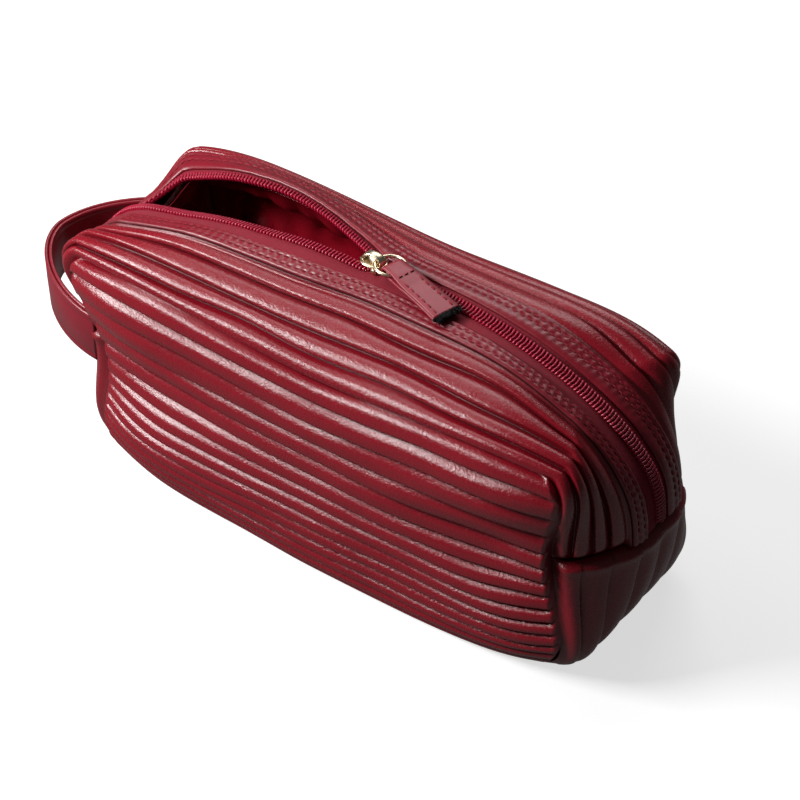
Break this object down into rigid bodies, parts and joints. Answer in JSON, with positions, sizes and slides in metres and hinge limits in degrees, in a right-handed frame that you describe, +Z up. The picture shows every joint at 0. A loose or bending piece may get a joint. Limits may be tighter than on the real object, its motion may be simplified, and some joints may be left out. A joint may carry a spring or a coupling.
{
  "type": "toiletry bag",
  "caption": "Pleated leather toiletry bag with a zipped arched mouth, a ring pull with a leather tab, turned-up end flaps and a two-layer carrying strap on one end.",
  "frame": {"origin": "middle of the flat base, on the ground", "axes": "+X along the bag's length to the end the zip runs down, -Y the front wall, +Z up"},
  "size_m": [0.2828, 0.1032, 0.1232],
  "materials": {
    "pleated_leather": "gathered glossy red leather in fine knife pleats",
    "smooth_leather": "smooth red leather with stitched edges",
    "padding": "soft white foam padding",
    "satin": "crumpled satin lining",
    "zip_tape": "woven zip tape",
    "zip_coil": "moulded coil",
    "gold_metal": "polished gold plate"
  },
  "bodies": {
    "bag": {"outer_front": "pleated_leather", "outer_back": "pleated_leather", "base_panel": "pleated_leather", "padding_front": "padding", "padding_back": "padding", "lining_front": "satin", "lining_back": "satin", "facing_front": "smooth_leather", "facing_back": "smooth_leather", "zip_tape_front": "zip_tape", "zip_tape_back": "zip_tape", "zip_coil_front": "zip_coil", "zip_coil_back": "zip_coil"},
    "slider": {"slider_body": "gold_metal", "slider_crown": "gold_metal"},
    "ring": {"pull_ring": "gold_metal"},
    "tab": {"pull_tab": "smooth_leather"},
    "strap": {"strap_outer": "smooth_leather", "strap_inner": "smooth_leather"}
  },
  "joints": [
    {"name": "zip_travel", "type": "hinge", "parent": "bag", "child": "slider", "pos_m": [0, -0.0015, -0.207], "axis": [0, 1, 0], "range_deg": [-15.5, 16.5], "deforming": ["zip_coil_front", "zip_coil_back", "zip_tape_front", "zip_tape_back"]},
    {"name": "pull_swing", "type": "hinge", "parent": "slider", "child": "ring", "pos_m": [-0.0015, -0.0015, 0.12049], "axis": [0, -1, 0], "range_deg": [0, 125]},
    {"name": "tab_swivel", "type": "hinge", "parent": "ring", "child": "tab", "pos_m": [0.0042, -0.0015, 0.12049], "axis": [0, 0, 1], "range_deg": [-14, 45]},
    {"name": "strap_swing", "type": "hinge", "parent": "bag", "child": "strap", "pos_m": [-0.125, 0, 0.055], "axis": [0, 1, 0], "range_deg": [-35, 45], "stiffness_Nm_per_rad": 0.15, "springref_deg": 1.03}
  ]
}
